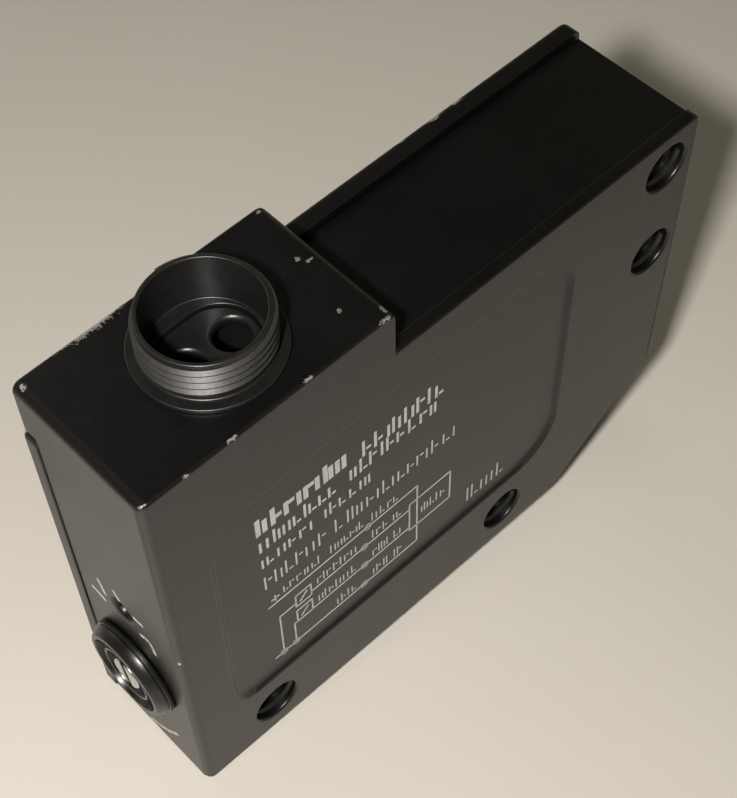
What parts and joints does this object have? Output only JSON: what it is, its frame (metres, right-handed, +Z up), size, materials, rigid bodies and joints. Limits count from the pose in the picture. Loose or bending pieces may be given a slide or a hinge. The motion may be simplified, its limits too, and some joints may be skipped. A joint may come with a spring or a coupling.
{
  "type": "photoelectric sensor",
  "caption": "Flat fibre-optic photoelectric sensor with a threaded fibre port, a sensitivity knob, a chamfered corner with a round connector, and through holes.",
  "frame": {"origin": "on the flat bottom face of the housing, half way along its 60 mm length and half way through its 15 mm thickness", "axes": "+X along the housing from the adjuster end towards the chamfered connector corner, +Y from the label face towards the back cover, +Z up towards the fibre port"},
  "size_m": [0.0642, 0.0154, 0.0599],
  "materials": {
    "black_metal": "satin black coating on die-cast metal",
    "black_rubber": "matt",
    "screw_steel": "zinc plated",
    "black_plastic": "fine moulded grain",
    "clear_resin": "clear epoxy",
    "nickel_brass": "nickel plated, turned",
    "white_plastic": "moulded",
    "carbon_track": "printed carbon",
    "amber_lens": "polished amber",
    "board_green": "solder mask",
    "chip_black": "moulded epoxy",
    "capacitor_can": "plain can",
    "amber_plastic": "moulded",
    "gold_contact": "gold plated",
    "wire_brown": "insulation",
    "wire_white": "insulation",
    "wire_blue": "insulation",
    "wire_black": "insulation"
  },
  "bodies": {
    "housing_assembly": {"housing": "black_metal", "back_cover": "black_metal", "cover_seal": "black_rubber", "cover_screw_1": "screw_steel", "cover_screw_2": "screw_steel", "cover_screw_3": "screw_steel", "cover_screw_4": "screw_steel", "port_collar": "black_metal", "ferrule_guide": "black_plastic", "optics_carrier": "black_plastic", "emitter_led": "clear_resin", "receiver_photodiode": "clear_resin", "spindle_bush": "nickel_brass", "spindle_seal": "black_rubber", "resistive_track": "carbon_track", "potentiometer_body": "white_plastic", "indicator_lens": "amber_lens", "indicator_led": "clear_resin", "circuit_board": "board_green", "board_screw_1": "screw_steel", "board_screw_2": "screw_steel", "signal_chip": "chip_black", "comparator_chip": "chip_black", "light_output_transistor": "chip_black", "dark_output_transistor": "chip_black", "smoothing_capacitor": "capacitor_can", "filter_capacitor": "amber_plastic", "reverse_polarity_diode": "chip_black", "connector_shell": "black_metal", "connector_seal": "black_rubber", "connector_nut": "nickel_brass", "connector_insulator": "black_plastic", "contact_pin_1": "gold_contact", "contact_pin_2": "gold_contact", "contact_pin_3": "gold_contact", "contact_pin_4": "gold_contact", "brown_wire": "wire_brown", "white_wire": "wire_white", "blue_wire": "wire_blue", "black_wire": "wire_black"},
    "adjuster": {"sensitivity_knob": "black_plastic", "adjuster_spindle": "nickel_brass", "potentiometer_rotor": "white_plastic", "potentiometer_wiper": "nickel_brass"}
  },
  "joints": [
    {"name": "sensitivity_turn", "type": "hinge", "parent": "housing_assembly", "child": "adjuster", "pos_m": [-0.03, 0, 0.0142], "axis": [-1, 0, 0], "range_deg": [-135, 135]}
  ]
}
